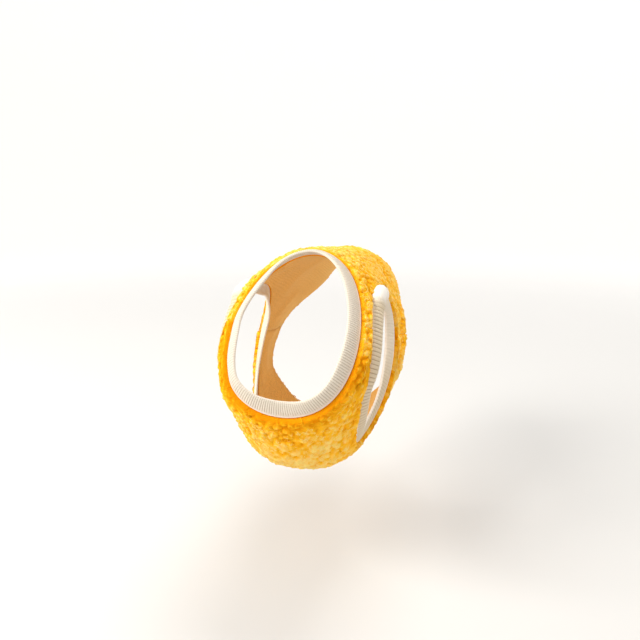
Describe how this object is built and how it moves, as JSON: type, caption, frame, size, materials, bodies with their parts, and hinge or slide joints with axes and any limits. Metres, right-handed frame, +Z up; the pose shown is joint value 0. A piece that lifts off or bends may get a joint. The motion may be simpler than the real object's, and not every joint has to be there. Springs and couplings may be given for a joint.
{
  "type": "dog sweater vest",
  "caption": "Sleeveless boa fleece vest for a small dog, in its hollow worn pose, with a rib-knit neckband, rib-knit armhole bands and a turned hem cut short under the belly.",
  "frame": {"origin": "on the inner face of the back, on the spine over the withers, where the wearer carries the vest", "axes": "+Y to the tail, so the chest faces -Y; +X to the wearer's left; +Z up"},
  "size_m": [0.1096, 0.2446, 0.1432],
  "materials": {
    "fleece": "yellow boa fleece, curly pile",
    "rib_knit": "cream rib knit, matte"
  },
  "bodies": {
    "root": {"back_panel": "fleece", "chest_panel": "fleece", "neckband": "rib_knit", "arm_band_left": "rib_knit", "arm_band_right": "rib_knit"}
  },
  "joints": []
}
